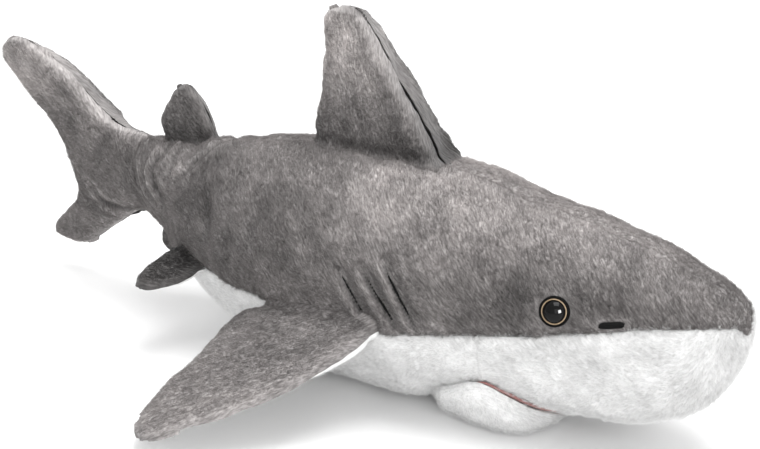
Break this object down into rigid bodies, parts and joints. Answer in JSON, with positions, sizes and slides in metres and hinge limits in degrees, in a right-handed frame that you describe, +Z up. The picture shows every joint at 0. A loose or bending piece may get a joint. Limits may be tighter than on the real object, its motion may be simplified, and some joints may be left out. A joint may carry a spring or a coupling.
{
  "type": "plush shark",
  "caption": "Plush shark with grey back, white belly, stuffed fins, soft swinging tail, lined mouth and domed safety eyes.",
  "frame": {"origin": "on the surface that the shark lies on, under the middle of its bounding box", "axes": "+X to the nose, +Z up, +Y to the shark's left"},
  "size_m": [0.546, 0.3338, 0.2203],
  "materials": {
    "grey_plush": "short dense pile, matte with a soft sheen",
    "white_plush": "short dense pile, matte with a soft sheen",
    "mouth_felt": "thin matte felt",
    "fibre_fill": "loose white fibre",
    "eye_black": "polished",
    "eye_ring": "satin tan",
    "washer_plastic": "matte",
    "dark_thread": "twisted embroidery thread"
  },
  "bodies": {
    "torso": {"back_panel_left": "grey_plush", "back_panel_right": "grey_plush", "snout_panel": "white_plush", "belly_panel": "white_plush", "mouth_lining": "mouth_felt", "torso_stuffing": "fibre_fill", "eye_left": "eye_black", "eye_right": "eye_black", "eye_ring_left": "eye_ring", "eye_ring_right": "eye_ring", "eye_washer_left": "washer_plastic", "eye_washer_right": "washer_plastic", "nostril_left": "dark_thread", "nostril_right": "dark_thread", "gill_stitching_left": "dark_thread", "gill_stitching_right": "dark_thread"},
    "lower_jaw": {"jaw_panel": "white_plush", "jaw_lining": "mouth_felt", "jaw_stuffing": "fibre_fill"},
    "tail": {"tail_panel_left": "grey_plush", "tail_panel_right": "grey_plush", "tail_stuffing": "fibre_fill"},
    "dorsal_fin": {"dorsal_panel_left": "grey_plush", "dorsal_panel_right": "grey_plush", "dorsal_stuffing": "fibre_fill"},
    "second_dorsal_fin": {"second_dorsal_panel_left": "grey_plush", "second_dorsal_panel_right": "grey_plush", "second_dorsal_stuffing": "fibre_fill"},
    "anal_fin": {"anal_panel_left": "grey_plush", "anal_panel_right": "grey_plush", "anal_stuffing": "fibre_fill"},
    "pectoral_fin_left": {"pectoral_upper_left": "grey_plush", "pectoral_lower_left": "white_plush", "pectoral_stuffing_left": "fibre_fill"},
    "pectoral_fin_right": {"pectoral_upper_right": "grey_plush", "pectoral_lower_right": "white_plush", "pectoral_stuffing_right": "fibre_fill"},
    "pelvic_fin_left": {"pelvic_upper_left": "grey_plush", "pelvic_lower_left": "white_plush", "pelvic_stuffing_left": "fibre_fill"},
    "pelvic_fin_right": {"pelvic_upper_right": "grey_plush", "pelvic_lower_right": "white_plush", "pelvic_stuffing_right": "fibre_fill"}
  },
  "joints": [
    {"name": "jaw_open", "type": "hinge", "parent": "torso", "child": "lower_jaw", "pos_m": [0.103, 0, 0.0005], "axis": [0, 1, 0], "range_deg": [0, 15], "stiffness_Nm_per_rad": 1},
    {"name": "tail_swing", "type": "hinge", "parent": "torso", "child": "tail", "pos_m": [-0.135, 0, 0.09], "axis": [0, 0, 1], "range_deg": [-25, 25], "stiffness_Nm_per_rad": 0.4},
    {"name": "dorsal_lean", "type": "hinge", "parent": "torso", "child": "dorsal_fin", "pos_m": [0.043, 0, 0.1406], "axis": [1, 0, 0], "range_deg": [-20, 20], "stiffness_Nm_per_rad": 0.2},
    {"name": "second_dorsal_lean", "type": "hinge", "parent": "torso", "child": "second_dorsal_fin", "pos_m": [-0.101, 0, 0.1199], "axis": [0.9868, 0, 0.162], "range_deg": [-20, 20], "stiffness_Nm_per_rad": 0.05},
    {"name": "anal_lean", "type": "hinge", "parent": "torso", "child": "anal_fin", "pos_m": [-0.1115, 0, 0.044], "axis": [0.7961, 0, -0.6051], "range_deg": [-20, 20], "stiffness_Nm_per_rad": 0.03},
    {"name": "pectoral_flap_left", "type": "hinge", "parent": "torso", "child": "pectoral_fin_left", "pos_m": [0.0445, 0.067, 0.0525], "axis": [0.9949, 0.0585, 0.0819], "range_deg": [-12, 40], "stiffness_Nm_per_rad": 0.3},
    {"name": "pectoral_flap_right", "type": "hinge", "parent": "torso", "child": "pectoral_fin_right", "pos_m": [0.0445, -0.067, 0.0525], "axis": [-0.9949, 0.0585, -0.0819], "range_deg": [-12, 40], "stiffness_Nm_per_rad": 0.3},
    {"name": "pelvic_flap_left", "type": "hinge", "parent": "torso", "child": "pelvic_fin_left", "pos_m": [-0.068, 0.0445, 0.0565], "axis": [0.9056, 0.2856, -0.3135], "range_deg": [-15, 25], "stiffness_Nm_per_rad": 0.05},
    {"name": "pelvic_flap_right", "type": "hinge", "parent": "torso", "child": "pelvic_fin_right", "pos_m": [-0.068, -0.0445, 0.0565], "axis": [-0.9056, 0.2856, 0.3135], "range_deg": [-15, 25], "stiffness_Nm_per_rad": 0.05}
  ]
}
